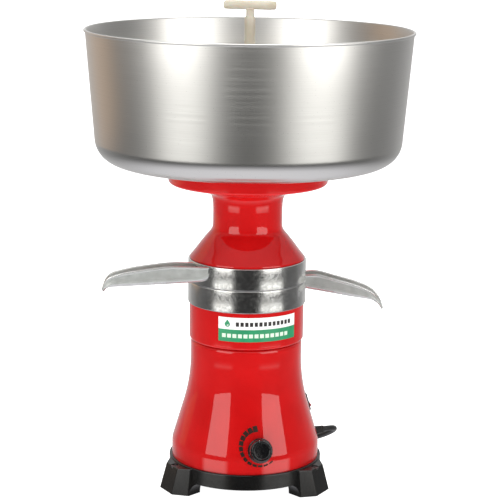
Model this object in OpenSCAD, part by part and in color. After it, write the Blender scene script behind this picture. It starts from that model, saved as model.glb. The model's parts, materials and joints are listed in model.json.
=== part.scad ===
// Household electric cream separator: a tripod base and skirted motor housing carry the drum
// chamber, the skim milk and cream receivers with their spouts, the float chamber and the milk bowl.
// Millimetres. The drum axis is Z, the floor is z = 0, and the controls face -Y.

/* [Milk bowl] */
// Outer radius of the bowl's rim
bowl_rim_r = 182.5; // [170:0.5:190]
// Height of the rim above the floor
bowl_rim_z = 517.5; // [500:0.5:535]
// Height of the bowl's flat bottom
bowl_base_z = 370; // [368:0.5:372]
// Radius of the flat part of the bottom
bowl_flat_r = 143; // [120:0.5:150]
// Radius of the rounded bottom corner
bowl_corner_r = 28; // [20:0.5:34]
// Thickness of the spun bowl's wall
bowl_wall = 1.8; // [1.5:0.1:2.5]
// Lean of the bowl's wall from the vertical, in degrees
bowl_lean = 5.4; // [3:0.1:8]

/* [Milk valve] */
// Length of the T handle's bar
handle_len = 58; // [40:1:70]
// Radius of the bar
handle_r = 5; // [4:0.5:5.4]
// Height of the bar's centre line
handle_z = 543.8; // [538:0.1:548]
// Radius of the valve's stem
stem_r = 6; // [5.9:0.1:6]
// How far the bar is turned away from the X axis at rest, in degrees
handle_turn = -8; // [-30:1:30]

/* [Float chamber] */
// Outer radius of the dish that carries the bowl
dish_r = 89.4; // [84:0.2:95]
// Height of the dish's lower edge
dish_edge_z = 350; // [347:0.5:353]
// Radius of the neck
neck_r = 39; // [37:0.5:41]
// Height where the cone runs into the neck
neck_z = 297; // [292:1:302]

/* [Receivers] */
// Outer radius of both receivers
ring_r = 66.6; // [66:0.1:67]
// Wall of both receivers
ring_wall = 2.4; // [2:0.1:2.6]
// Height of the skim milk receiver's lower edge
skim_z = 211.3; // [211.3:0.1:211.5]
// Height of the seam between the receivers
seam_z = 236.5; // [236:0.1:237]
// Height of the cream receiver's top edge
cream_top_z = 261.5; // [261:0.1:261.5]
// Outside width of each spout
spout_w = 26; // [22:0.5:28]
// Wall of the spouts
spout_wall = 2; // [1.6:0.1:2.4]
// Reach of the cream spout from the axis
cream_reach = 160; // [140:1:170]
// Reach of the skim milk spout from the axis
skim_reach = 157; // [140:1:165]

/* [Drum] */
// Greatest radius of the drum
drum_r = 50; // [46:0.5:54]
// Number of separating discs
disc_count = 8; // [6:1:8]
// Upright distance between neighbouring discs
disc_pitch = 1.5; // [1.2:0.1:1.5]

/* [Housing] */
// Radius of the skirt's lower edge
skirt_r = 84; // [82:0.2:86]
// Radius of the waist under the drum chamber
waist_r = 63.1; // [61:0.1:63.5]
// Slope of the skirt from the vertical, in degrees
skirt_slope = 16.5; // [14:0.1:18]
// Height of the joint between the housing and the drum chamber
joint_z = 168.8; // [168:0.1:169]
// Outer radius of the drum chamber
chamber_r = 64.8; // [64.4:0.1:65]
// Wall of the housing
shell_wall = 3; // [2.4:0.1:3.2]

/* [Base] */
// Outer radius of the base ring
base_r = 87; // [86:0.2:88]
// Height of the base ring's top, where the skirt stands
base_top_z = 32; // [31:0.5:33]
// Height of the ring's lower edge between the feet
arch_z = 14.4; // [12:0.2:16]
// Reach of the feet from the axis
foot_reach = 102.8; // [101:0.2:106]
// Thickness of the rubber foot pads
pad_h = 3; // [2:0.5:4]

/* [Controls] */
// Direction of the speed knob round the axis, in degrees
knob_az = -78.4; // [-90:0.1:-60]
// Height of the speed knob's centre
knob_z = 59; // [57:0.5:61]
// Radius of the speed knob
knob_r = 14; // [11:0.5:14]
// Direction of the power switch round the axis, in degrees
switch_az = 15; // [5:1:25]
// Height of the power switch's centre
switch_z = 88.5; // [80:0.5:90]

/* [Mains lead] */
// Diameter of the lead
cord_d = 6.5; // [6:0.1:6.5]
// Direction in which the lead leaves the skirt, in degrees
cord_az = 30; // [30:1:30]
// Height of the lead where it leaves the skirt
cord_z = 43; // [43:0.5:43]

/* [Hidden] */
$fn = 96;
eps = 0.01;
gap = 0.3;

foot_angles = [210, 330, 90];
base_screw_angles = [0, 120, 240];
plate_screw_angles = [30, 150, 270];

// Points along an arc about centre c, from angle a0 to a1
function arc(c, r, a0, a1, n = 6) =
    [for (i = [0:n]) let (a = a0 + (a1 - a0) * i / n) [c[0] + r * cos(a), c[1] + r * sin(a)]];

// The skirt: upright, a short convex arc, a straight slope, then a long concave arc to the waist
skirt_knee_z = 46;
skirt_knee_r = 28;
waist_arc_r = 194;
slope_r0 = skirt_r - skirt_knee_r * (1 - cos(skirt_slope));
slope_z0 = skirt_knee_z + skirt_knee_r * sin(skirt_slope);
slope_r1 = waist_r + waist_arc_r * (1 - cos(skirt_slope));
slope_z1 = slope_z0 + (slope_r0 - slope_r1) / tan(skirt_slope);
waist_z = slope_z1 + waist_arc_r * sin(skirt_slope);
shoulder_r = 4.5;

function slope_radius(z) = slope_r0 - (z - slope_z0) * tan(skirt_slope);

function skirt_side(inset) = concat(
    [[skirt_r - inset, base_top_z]],
    arc([skirt_r - skirt_knee_r - inset, skirt_knee_z], skirt_knee_r, 0, skirt_slope, 4),
    arc([waist_r + waist_arc_r - inset, waist_z], waist_arc_r, 180 + skirt_slope, 180, 10));

module turned(points) rotate_extrude($fn = 144) polygon(points);

module tube(r_out, r_in, z0, z1) turned([[r_in, z0], [r_out, z0], [r_out, z1], [r_in, z1]]);

// Puts children in the frame of a point on the skirt, with local +Z along the outward normal
module on_skirt(az, z) rotate([0, 0, az]) translate([slope_radius(z), 0, z])
    rotate([0, 90 - skirt_slope, 0]) children();

module at_angles(angles, r) for (a = angles) rotate([0, 0, a]) translate([r, 0, 0]) children();

// ---------------------------------------------------------------- base

foot_z = 0.8;
foot_edge_z = 29.5;
foot_corner = 14.4;
foot_half_w = 27.8;
foot_facet = 13.8;
foot_heel = [72, 19];
foot_neck = [72, 33.5];
foot_shoulder = [82, 28];
foot_draft = 6.5;
arch_draft = foot_draft * (arch_z - foot_z) / (foot_edge_z - foot_z);
foot_inner_r = 74;
foot_screw_r = 92;
foot_screw_z = 27;
pad_centre_r = 88;
pad_r = 12.5;
base_screw_r = 75.5;
base_screw_z = 18;

function both_sides(points) = concat([for (p = points) [p[0], -p[1]]],
    [for (i = [len(points) - 1:-1:0]) points[i]]);

function foot_outline(inner, draft) = both_sides([inner,
    [foot_reach - foot_facet - draft / 2, foot_half_w - draft / 3],
    [foot_reach - draft, foot_corner - draft / 4]]);

module foot_slice(z, h, points) translate([0, 0, z]) linear_extrude(h) polygon(points);

// One foot: narrow on the floor, widest where the ring begins, drawn in towards its top
module foot_block() {
    hull() {
        foot_slice(foot_z, 2, foot_outline(foot_heel, 0));
        foot_slice(arch_z, 1, foot_outline(foot_neck, arch_draft));
    }
    hull() {
        foot_slice(arch_z, 1, foot_outline(foot_neck, arch_draft));
        foot_slice(foot_edge_z - 1, 1, foot_outline(foot_neck, foot_draft));
        foot_slice(base_top_z - 1.6, 1, both_sides([foot_neck, foot_shoulder]));
    }
}

module base_ring() color("#18181a") difference() {
    union() {
        turned([[70, arch_z], [base_r, arch_z], [base_r, base_top_z - 0.6],
            [base_r - 0.6, base_top_z], [80.6, base_top_z], [80.6, base_top_z + 4],
            [77, base_top_z + 4], [77, base_top_z], [foot_inner_r, base_top_z],
            [foot_inner_r, 16.4], [70, 16.4]]);
        difference() {
            for (a = foot_angles) rotate([0, 0, a]) foot_block();
            translate([0, 0, -1]) cylinder(r = foot_inner_r, h = 40);
        }
    }
    at_angles(foot_angles, pad_centre_r) translate([0, 0, pad_h - 5])
        cylinder(r = pad_r + gap, h = 5, $fn = 64);
    at_angles(foot_angles, foot_screw_r) {
        translate([0, 0, -1]) cylinder(r = 2.1, h = 40, $fn = 32);
        translate([0, 0, foot_screw_z]) cylinder(r = 4.2, h = 8, $fn = 32);
    }
    at_angles(base_screw_angles, base_screw_r) {
        translate([0, 0, 10]) cylinder(r = 2.1, h = 40, $fn = 32);
        translate([0, 0, 10]) cylinder(r = 4, h = base_screw_z - 10, $fn = 32);
    }
}

module foot_pads() color("#101010") at_angles(foot_angles, pad_centre_r) difference() {
    cylinder(r = pad_r, h = pad_h, $fn = 64);
    translate([foot_screw_r - pad_centre_r, 0, -1]) cylinder(r = 2.6, h = 6, $fn = 32);
}

// A pan-head screw whose head rests at z = 0 and whose shank runs down
module pan_screw(r, head_r, head_h, length) difference() {
    union() {
        translate([0, 0, -length]) cylinder(r = r, h = length + eps, $fn = 24);
        cylinder(r = head_r, h = head_h, $fn = 32);
    }
    translate([-0.4, -head_r, head_h - 0.8]) cube([0.8, 2 * head_r, 1]);
}

module foot_screws() color("#3a3b3d") at_angles(foot_angles, foot_screw_r)
    translate([0, 0, foot_screw_z]) pan_screw(2, 3.8, 2.2, 25);

module base_screws() color("#3a3b3d") at_angles(base_screw_angles, base_screw_r)
    translate([0, 0, base_screw_z]) mirror([0, 0, 1]) pan_screw(2, 3.8, 2.2, 26);

module bottom_plate() color("#1d1d1f") difference() {
    translate([0, 0, 16.5]) cylinder(r = 73.7, h = 2.5);
    at_angles(base_screw_angles, base_screw_r) translate([0, 0, 10])
        cylinder(r = 6.5, h = 12, $fn = 32);
    for (ring = [22, 34, 46]) at_angles([for (i = [0:11]) 30 * i], ring)
        translate([-4, -1.5, 10]) cube([8, 3, 12]);
}

// ---------------------------------------------------------------- housing

plate_screw_r = 42;

module motor_housing() color("#c01520") difference() {
    union() {
        turned(concat(skirt_side(0),
            arc([waist_r - shoulder_r, joint_z - shoulder_r], shoulder_r, 0, 90, 4),
            [[30, joint_z], [30, joint_z - shell_wall], [waist_r - 8, joint_z - shell_wall],
                [waist_r - shell_wall, joint_z - 8]],
            [for (i = [len(skirt_side(0)) - 1:-1:0]) skirt_side(shell_wall)[i]]));
        at_angles(base_screw_angles, base_screw_r) translate([0, 0, base_top_z + 4.3])
            cylinder(r = 6.5, h = 12, $fn = 48);
    }
    at_angles(base_screw_angles, base_screw_r) translate([0, 0, base_top_z])
        cylinder(r = 2.05, h = 13, $fn = 32);
    at_angles(plate_screw_angles, plate_screw_r) translate([0, 0, joint_z - 10])
        cylinder(r = 2.2, h = 14, $fn = 32);
    on_skirt(knob_az, knob_z) translate([0, 0, -12]) cylinder(r = 3.8, h = 16, $fn = 48);
    on_skirt(switch_az, switch_z) translate([-9.7, -6.7, -8]) cube([19.4, 13.4, 14]);
    rotate([0, 0, cord_az]) translate([skirt_r - 12, 0, cord_z]) rotate([0, 90, 0])
        cylinder(r = 5.1, h = 16, $fn = 48);
}

chamber_floor_z = joint_z + shell_wall;
chamber_in_r = chamber_r - 2.6;
collar_r = 8;
plate_screw_z = joint_z + 1.2;

module drum_chamber() color("#c01520") difference() {
    turned(concat(
        [[collar_r, joint_z], [chamber_r - 3.4, joint_z]],
        arc([chamber_r - 3.4, joint_z + 3.4], 3.4, -80, 0, 5),
        [[chamber_r, skim_z - gap], [chamber_in_r, skim_z - gap],
            [chamber_in_r, chamber_floor_z + 4], [chamber_in_r - 4, chamber_floor_z],
            [collar_r + 3, chamber_floor_z], [collar_r + 3, 180], [collar_r, 180]]));
    at_angles(plate_screw_angles, plate_screw_r) {
        translate([0, 0, joint_z - 1]) cylinder(r = 2.2, h = 14, $fn = 32);
        translate([0, 0, plate_screw_z]) cylinder(r = 4.2, h = 8, $fn = 32);
    }
}

label_start = -118.3;
label_angle = 83.3;

module label_band() color("#2f8a55") rotate([0, 0, label_start])
    rotate_extrude(angle = label_angle, $fn = 144) translate([chamber_r, 179]) square([0.3, 27.5]);

dial_r = 23.5;
dial_ticks = 13;
dial_z = 63.3;
dial_start = 35;
dial_step = 17;

// Dark blocks in an arc round the knob, growing longer towards full speed
module dial_marks() color("#23150f") intersection() {
    difference() {
        turned(concat(skirt_side(-0.25), [[20, 168], [20, base_top_z]]));
        turned(concat(skirt_side(0), [[19, 169], [19, base_top_z - 1]]));
    }
    on_skirt(knob_az, dial_z) for (i = [0:dial_ticks - 1]) {
        size = 1.6 + 5.4 * i / (dial_ticks - 1);
        rotate([0, 0, dial_start - dial_step * i]) translate([dial_r - size, -2.4, -4])
            cube([size, 4.8, 10]);
    }
}

// ---------------------------------------------------------------- motor

motor_plate_z = 161;
motor_plate_h = 2.3;
damper_z = motor_plate_z + motor_plate_h;
shaft_r = 4;
shaft_top_r = 5;
bearing_fit = 0.05;

module motor_plate() color("#9a9da0") difference() {
    translate([0, 0, motor_plate_z]) cylinder(r = 52, h = motor_plate_h);
    translate([0, 0, 150]) cylinder(r = 16, h = 20);
    at_angles(plate_screw_angles, plate_screw_r) translate([0, 0, 150])
        cylinder(r = 2.05, h = 20, $fn = 32);
}

module motor_dampers() color("#151515") at_angles(plate_screw_angles, plate_screw_r) difference() {
    translate([0, 0, damper_z]) cylinder(r = 6, h = joint_z - shell_wall - damper_z, $fn = 48);
    translate([0, 0, 150]) cylinder(r = 2.2, h = 30, $fn = 32);
}

module motor_screws() color("#8d9093") at_angles(plate_screw_angles, plate_screw_r)
    translate([0, 0, plate_screw_z]) pan_screw(2, 3.9, 1.8, 12);

// An end bracket: a plate with a bearing pocket and two ears for the long bolts
module end_bracket(z0, z1, pocket_r, pocket_z0, pocket_z1) difference() {
    union() {
        translate([0, 0, z0]) cylinder(r = 34, h = z1 - z0);
        for (s = [-1, 1]) translate([s * 37, 0, z0]) cylinder(r = 5, h = z1 - z0, $fn = 48);
    }
    translate([0, 0, pocket_z0]) cylinder(r = pocket_r, h = pocket_z1 - pocket_z0);
    translate([0, 0, z0 - 1]) cylinder(r = 6.5, h = z1 - z0 + 2);
    for (s = [-1, 1]) translate([s * 37, 0, z0 - 1]) cylinder(r = 2.05, h = z1 - z0 + 2, $fn = 32);
}

module upper_bracket() color("#a9acb0") difference() {
    end_bracket(148, motor_plate_z, 11, 150, 157);
    translate([0, 0, 147]) difference() {
        cylinder(r = 31, h = 10);
        cylinder(r = 14, h = 10);
    }
}

module lower_bracket() color("#a9acb0") difference() {
    union() {
        end_bracket(64, 77, 9.5, 68, 74);
        tube(34, 31.5, 76, 94);
    }
    translate([0, 0, 67.5]) difference() {
        cylinder(r = 31, h = 10);
        cylinder(r = 12.5, h = 10);
    }
    for (s = [0, 180]) rotate([0, 0, s]) translate([28, -5, 79]) cube([10, 10, 12]);
}

module motor_bolts() color("#8d9093") for (s = [-1, 1]) translate([s * 37, 0, 64]) {
    translate([0, 0, -2.6]) cylinder(r = 3.6, h = 2.6, $fn = 6);
    cylinder(r = 2, h = 97 - 0.2, $fn = 32);
}

module bearing(r_out, z0, z1) difference() {
    tube(r_out, shaft_r + bearing_fit, z0, z1);
    for (z = [z0 - 1, z1 - 0.5]) tube(r_out - 1.6, shaft_r + 1.6, z, z + 1.5);
}

module upper_bearing() color("#c9ccd0") bearing(11, 150, 157);

module lower_bearing() color("#c9ccd0") bearing(9.5, 68, 74);

pole_half_angle = 32;

module sector(r_out, r_in, z0, z1, half_angle) rotate([0, 0, -half_angle])
    rotate_extrude(angle = 2 * half_angle) translate([r_in, z0]) square([r_out - r_in, z1 - z0]);

module stator_core() color("#6f7276") union() {
    tube(34, 27.5, 100, 140);
    for (a = [90, 270]) rotate([0, 0, a]) sector(28, 19.6, 100, 140, pole_half_angle);
}

module field_coils() color("#a5552a") for (a = [90, 270]) rotate([0, 0, a]) difference() {
    sector(27, 20.5, 94, 146, 53);
    sector(30, 18, 99, 141, pole_half_angle + 3);
}

module brush_holders() color("#b08d3e") for (s = [0, 180]) rotate([0, 0, s]) difference() {
    translate([14, -4.8, 79.2]) cube([20.4, 9.6, 11.6]);
    translate([13, -2.6, 81.9]) cube([19.4, 5.2, 6.2]);
}

module carbon_brushes() color("#3b3b3b") for (s = [0, 180]) rotate([0, 0, s])
    translate([11.4, -2.5, 82]) cube([14, 5, 6]);

module spindle() color("#b9bcc0") turned([[0, 48], [shaft_r, 48], [shaft_r, 160],
    [shaft_top_r, 161.5], [shaft_top_r, 197], [shaft_top_r - 1.5, 198.5], [0, 198.5]]);

module armature_core() color("#5f6266") difference() {
    tube(19, shaft_r, 102, 138);
    for (i = [0:11]) rotate([0, 0, 30 * i]) translate([17, -1, 100]) cube([4, 2, 40]);
}

module armature_windings() color("#b4662f") for (z = [95, 138])
    turned([[shaft_r, z], [15, z], [16.5, z + 1.5], [16.5, z + 5.5], [15, z + 7], [shaft_r, z + 7]]);

module commutator() color("#b87333") difference() {
    tube(11, shaft_r, 78, 92);
    for (i = [0:11]) rotate([0, 0, 30 * i + 15]) translate([10, -0.3, 77]) cube([2, 0.6, 20]);
}

module cooling_fan() color("#2b2d30") union() {
    tube(8, shaft_r, 50, 61);
    tube(34, 7, 58.5, 60.5);
    for (i = [0:7]) rotate([0, 0, 45 * i]) translate([7, -0.8, 50]) cube([26, 1.6, 9]);
}

module shaft_seal() color("#1a1a1a") tube(collar_r, shaft_top_r + gap, 173, 178);

// ---------------------------------------------------------------- electrics

board_z = 40;
board_t = 1.6;
post_z = 19;

module control_board() color("#2f6b3c") difference() {
    translate([-26, -68, board_z]) cube([52, 26, board_t]);
    for (x = [-22, 22]) translate([x, -46, board_z - 1]) cylinder(r = 1.6, h = 4, $fn = 24);
}

module board_parts() color("#30353c") {
    translate([-19, -61, board_z + board_t]) cylinder(r = 5, h = 14, $fn = 48);
    translate([8, -60, board_z + board_t]) cube([14, 4, 12]);
    translate([-10, -52, board_z + board_t]) cube([12, 7, 6]);
}

module board_posts() color("#d8d4c8") for (x = [-22, 22]) translate([x, -46, post_z]) {
    cylinder(r = 4, h = board_z - post_z, $fn = 32);
    cylinder(r = 1.5, h = board_z - post_z + 3, $fn = 24);
}

pot_shaft_r = 3;

module potentiometer() color("#8a8d90") on_skirt(knob_az, knob_z) difference() {
    union() {
        translate([0, 0, -14]) cylinder(r = 8.5, h = 10.6, $fn = 48);
        translate([0, 0, -3.6]) cylinder(r = 3.7, h = 4.8, $fn = 48);
    }
    translate([0, 0, -12]) cylinder(r = pot_shaft_r + bearing_fit, h = 16, $fn = 48);
}

module pot_nut() color("#b9bcc0") on_skirt(knob_az, knob_z) difference() {
    translate([0, 0, 0.05]) cylinder(r = 5.6, h = 2, $fn = 6);
    translate([0, 0, -2]) cylinder(r = 3.75, h = 6, $fn = 48);
}

module pot_shaft() color("#d9dadd") on_skirt(knob_az, knob_z)
    translate([0, 0, -11.5]) cylinder(r = pot_shaft_r, h = 20, $fn = 48);

module speed_knob() color("#141416") on_skirt(knob_az, knob_z) difference() {
    turned([[pot_shaft_r, 3.2], [7, 3.2], [7, 1.6], [knob_r, 1.6], [knob_r, 4], [knob_r - 1, 5.2],
        [knob_r - 1.6, 12], [knob_r - 2.6, 13], [0, 13], [0, 8.5], [pot_shaft_r, 8.5]]);
    rotate([0, 0, 190]) translate([4, -0.5, 12.5]) cube([12, 1, 2]);
}

rocker_tilt = -8;
rocker_pivot = -1.5;

module switch_frame() color("#161618") on_skirt(switch_az, switch_z) difference() {
    union() {
        translate([-11, -7.8, 0.15]) cube([22, 15.6, 1.35]);
        translate([-9.4, -6.4, -17]) cube([18.8, 12.8, 18]);
    }
    translate([-8.6, -5.4, -9]) cube([17.2, 10.8, 12]);
}

// A rocker cut from a disc about its pivot, so that its ends stay inside the frame as it tips
module power_rocker() color("#8c1118") on_skirt(switch_az, switch_z) translate([0, 0, rocker_pivot])
    rotate([0, rocker_tilt, 0]) intersection() {
        rotate([90, 0, 0]) cylinder(r = 8.3, h = 10.2, center = true);
        rotate([90, 0, 0]) linear_extrude(10.2, center = true)
            polygon([[-9, -4], [9, -4], [9, 5], [0, 3.4], [-9, 5]]);
    }

// ---------------------------------------------------------------- drum

cone_slope = 0.88;
shell_cone_z = 203;
shell_top_z = 253;
drum_neck_r = 15;
disc_in_r = 9.2;
disc_out_r = 40;
disc_t = 0.5;

// Height of the shell's inner cone at radius r
function cone_z(r) = shell_cone_z - 3.2 + (drum_r - 3 - r) * cone_slope;

module drum_base() color("#b7babd") turned([[shaft_top_r, 186], [12, 186], [12, 188], [44, 184],
    [drum_r, 184], [drum_r, 190], [46.8, 190], [46.8, 190.8], [45.4, 190.8], [45.4, 192.6],
    [46.8, 192.6], [46.8, 193.6], [44, 193.6], [44, 189.8], [6.3, 189.8], [6.3, 200],
    [shaft_top_r, 200]]);

module drum_seal() color("#c8482e") rotate_extrude() translate([46.15, 191.7]) circle(r = 0.75, $fn = 24);

module disc_holder() color("#c3c6c9") difference() {
    turned([[6.5, 190.2], [disc_out_r, 190.2], [disc_out_r, 191.4], [14, 214], [8.6, 214],
        [8.6, 259], [6.5, 259]]);
    at_angles([0, 120, 240], 24) translate([0, 0, 190]) cylinder(r = 2.5, h = 30, $fn = 32);
}

module disc_stack() color("#d5d7d9") for (k = [0:disc_count - 1]) {
    drop = 2 + k * disc_pitch;
    turned([[disc_in_r, cone_z(disc_in_r) - drop], [disc_out_r, cone_z(disc_out_r) - drop],
        [disc_out_r, cone_z(disc_out_r) - drop - disc_t],
        [disc_in_r, cone_z(disc_in_r) - drop - disc_t]]);
}

module drum_shell() color("#bfc2c5") difference() {
    turned([[drum_r, 190.1], [drum_r, shell_cone_z], [17, 232], [drum_neck_r, 233.6],
        [drum_neck_r, shell_top_z], [8.8, shell_top_z], [8.8, shell_top_z - 3],
        [12, shell_top_z - 5], [12, cone_z(12)], [47, cone_z(47)], [47, 190.1]]);
    for (a = [45, 135, 225, 315]) rotate([0, 0, a]) translate([10, 0, 230.2]) rotate([0, 90, 0])
        cylinder(r = 1.5, h = 16, $fn = 24);
    translate([10, 0, 247]) rotate([0, 90, 0]) cylinder(r = 1.8, h = 8, $fn = 24);
}

module cream_screw() color("#b08d3e") difference() {
    translate([11.4, 0, 247]) rotate([0, 90, 0]) cylinder(r = 1.75, h = 4.2, $fn = 32);
    translate([9, 0, 247]) rotate([0, 90, 0]) cylinder(r = 0.6, h = 10, $fn = 24);
}

module drum_nut() color("#b08d3e") difference() {
    turned([[8.65, shell_top_z + 0.05], [16.5, shell_top_z + 0.05], [16.5, 257], [12, 261], [8.65, 261]]);
    for (s = [0, 180]) rotate([0, 0, s]) translate([12, -2, 255.5]) cube([8, 4, 8]);
}

// ---------------------------------------------------------------- receivers and spouts

ring_in_r = ring_r - ring_wall;

module side_prism(points, w) rotate([90, 0, 0]) linear_extrude(w, center = true) polygon(points);

// A receiver ring with a sloping floor, a hub, and a register that drops into the ring below
module receiver(z0, z1, spigot_r, floor_z, hub_r, hub_rise) turned([
    [spigot_r - 2, z0 - 4.5], [spigot_r, z0 - 4.5], [spigot_r, z0], [ring_r - 0.8, z0],
    [ring_r, z0 + 0.8], [ring_r, z1 - 0.8], [ring_r - 0.8, z1], [ring_in_r, z1], [ring_in_r, floor_z],
    [hub_r, floor_z + hub_rise], [hub_r, floor_z + hub_rise + 2], [hub_r - 2, floor_z + hub_rise + 2],
    [hub_r - 2, floor_z + hub_rise - 2], [spigot_r - 2, floor_z - 2.4]]);

// The spout's outside and inside, seen from its side and pointing along +X
cream_out = [[30, 260], [61, 260.6], [83, 260.6], [99, 259], [128, 254.5], [147, 249.6],
    [154, 246], [158, 241.5], [cream_reach, 232], [157.6, 230.5], [154.5, 234.4], [151, 235.6],
    [128, 237.1], [30, 243.7]];
cream_in = [[20, 270], [170, 270], [170, 233], [159, 233], [157, 236], [151, 237.6], [128, 239.1],
    [20, 246.4]];
cream_window = [[20, 258.2], [70, 258.2], [70, 242.8], [20, 246.4]];
skim_out = [[36, 234], [69, 236.2], [78, 237.6], [97, 233.5], [126, 225.5], [143, 218], [152, 209.5],
    [skim_reach, 198.5], [155, 196.5], [150, 203.5], [143, 207.5], [121, 211], [68, 219.5], [36, 224.6]];
skim_in = [[25, 250], [170, 250], [170, 199.5], [154, 199.5], [151, 205.5], [143, 209.5], [121, 213],
    [68, 221.5], [25, 228.4]];
skim_window = [[25, 233.2], [72, 233.2], [72, 220.9], [25, 228.4]];

cream_spout_y = -39;
skim_spout_y = 33;

module spout(outside, inside) difference() {
    side_prism(outside, spout_w);
    side_prism(inside, spout_w - 2 * spout_wall);
}

module skim_receiver() color("#c6c9cb") difference() {
    union() {
        receiver(skim_z, seam_z, chamber_in_r - gap, 221, 31, 5.5);
        difference() {
            translate([0, skim_spout_y, 0]) spout(skim_out, skim_in);
            translate([0, 0, 180]) cylinder(r = ring_r - 1, h = 90);
        }
    }
    translate([0, skim_spout_y, 0]) side_prism(skim_window, spout_w - 2 * spout_wall);
}

module cream_receiver() color("#c6c9cb") difference() {
    union() {
        receiver(seam_z + gap, cream_top_z, ring_in_r - gap, 242.4, 24, 4.6);
        difference() {
            translate([0, cream_spout_y, 0]) mirror([1, 0, 0]) spout(cream_out, cream_in);
            translate([0, 0, 220]) cylinder(r = ring_r - 1, h = 90);
        }
    }
    translate([0, cream_spout_y, 0]) mirror([1, 0, 0])
        side_prism(cream_window, spout_w - 2 * spout_wall);
}

// ---------------------------------------------------------------- float chamber

dish_floor_z = 341;
dish_in_r = dish_r - 2.8;
cone_edge_r = 64.9;

module float_chamber() color("#c01520") turned(concat(
    [[ring_in_r - gap - 2, 258.5], [ring_in_r - gap, 258.5], [ring_in_r - gap, cream_top_z + gap],
        [cone_edge_r, cream_top_z + gap], [cone_edge_r - 0.4, 263.4], [51, 281], [45.2, 289]],
    arc([neck_r + 12, neck_z + 1.2], 12, 205, 180, 4),
    [[neck_r + 1.2, 331], [neck_r + 3, 334.4], [neck_r + 6, 336.4], [84, 347.4]],
    arc([dish_r - 3, dish_edge_z], 3, -70, 0, 4),
    [[dish_r, bowl_base_z], [dish_in_r, bowl_base_z], [dish_in_r, dish_floor_z + 12],
        [44, dish_floor_z], [5.2, dish_floor_z], [5.2, dish_floor_z - 4.4], [35, dish_floor_z - 4.4],
        [neck_r - 2.6, dish_floor_z - 8], [neck_r - 2.6, neck_z], [61, 262]]));

module feed_nozzle() color("#b08d3e") turned([[2, 247], [5, 247], [5, dish_floor_z], [9, dish_floor_z],
    [9, dish_floor_z + 1.2], [4, dish_floor_z + 1.2], [2, dish_floor_z - 2]]);

module milk_float() color("#d9d6cc") turned([[0, 343], [10, 343], [10, 348], [50, 348.4], [54, 349.4],
    [56, 351.5], [56, 355], [54, 357.2], [50, 358], [8, 358], [4.8, 359], [4.8, 362.6], [3, 363.4],
    [0, 363.4]]);

// ---------------------------------------------------------------- milk bowl and valve

bowl_corner_z = bowl_base_z + bowl_corner_r;
bead_r = 1.6;
port_z = 381;

// Inside or outside of the bowl's wall, at distance inset from the outer face
function bowl_side(inset) = concat(
    arc([bowl_flat_r, bowl_corner_z], bowl_corner_r - inset, -90, -bowl_lean, 8),
    [[bowl_rim_r - bead_r - inset, bowl_rim_z - bead_r]]);

module milk_bowl() color("#c9cbce") union() {
    turned(concat([[9.2, bowl_base_z]], bowl_side(0),
        [for (i = [len(bowl_side(0)) - 1:-1:0]) bowl_side(bowl_wall)[i]],
        [[9.2, bowl_base_z + bowl_wall]]));
    rotate_extrude($fn = 144) translate([bowl_rim_r - bead_r, bowl_rim_z - bead_r])
        circle(r = bead_r, $fn = 24);
}

module outlet_gasket() color("#1a1a1a") tube(14, 9.2, bowl_base_z + bowl_wall, bowl_base_z + 2.8);

module outlet_bush() color("#dcd6c6") difference() {
    turned([[5.6, 364.5], [9, 364.5], [9, bowl_base_z + 2.8], [14, bowl_base_z + 2.8], [14, 375],
        [10, 375.6], [10, 387], [stem_r + bearing_fit, 387], [stem_r + bearing_fit, 374.6],
        [5.6, 374.6]]);
    translate([0, 0, port_z]) rotate([0, 90, 0]) cylinder(r = 2.5, h = 30, center = true, $fn = 32);
}

module outlet_nut() color("#dcd6c6") difference() {
    translate([0, 0, 366.4]) cylinder(r = 14, h = 3.5, $fn = 6);
    translate([0, 0, 360]) cylinder(r = 9.02, h = 20);
}

module milk_valve() color("#dcd6c6") rotate([0, 0, handle_turn]) difference() {
    union() {
        turned([[0, 375], [stem_r, 375], [stem_r, 530.5], [4.3, 532.5], [4.3, handle_z - 1],
            [0, handle_z - 1]]);
        translate([0, 0, handle_z]) rotate([0, 90, 0])
            cylinder(r = handle_r, h = handle_len - 2 * handle_r, center = true);
        for (s = [-1, 1]) translate([s * (handle_len / 2 - handle_r), 0, handle_z])
            sphere(r = handle_r);
    }
    translate([0, 0, 370]) cylinder(r = 3, h = port_z - 370, $fn = 32);
    rotate([0, 0, -handle_turn]) translate([0, 0, port_z]) rotate([90, 0, 0])
        cylinder(r = 2.5, h = 30, center = true, $fn = 32);
}

// ---------------------------------------------------------------- mains lead

cord_r = cord_d / 2;
relief_len = 23;
coil_x = 26;
coil_y = 158;
coil_in_r = 32.5;
coil_mid_r = coil_in_r + cord_d;
coil_out_r = coil_mid_r + cord_d;
tie_az = 205;
leave_az = 95;
plug_heading = leave_az + 90;
tail_start = 8;
plug_tail_start = 29;
plug_start = 44;
plug_len = 38;
plug_z = 8.7;

// The lead's centre line from the strain relief's tip to the coil, on the floor at its end
cord_route = [[92.7, 53.5, 43], [97.6, 56.9, 42.6], [101.9, 61.6, 41.6], [105, 67.4, 39.8],
    [106.6, 74, 37.2], [106.6, 81, 33.8], [105.2, 88.2, 30], [102.6, 95.4, 25.9],
    [99.2, 102.6, 21.7], [95.2, 109.8, 17.5], [90.8, 117, 13.5], [86.2, 124.4, 9.9],
    [81.8, 132, 6.9], [77.8, 139.8, 4.7], [74.4, 147, 3.5], [72.2, 153.4, 3.25]];

function unit(v) = v / norm(v);
function route_dir(p, i) = unit(p[min(i + 1, len(p) - 1)] - p[max(i - 1, 0)]);

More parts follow.
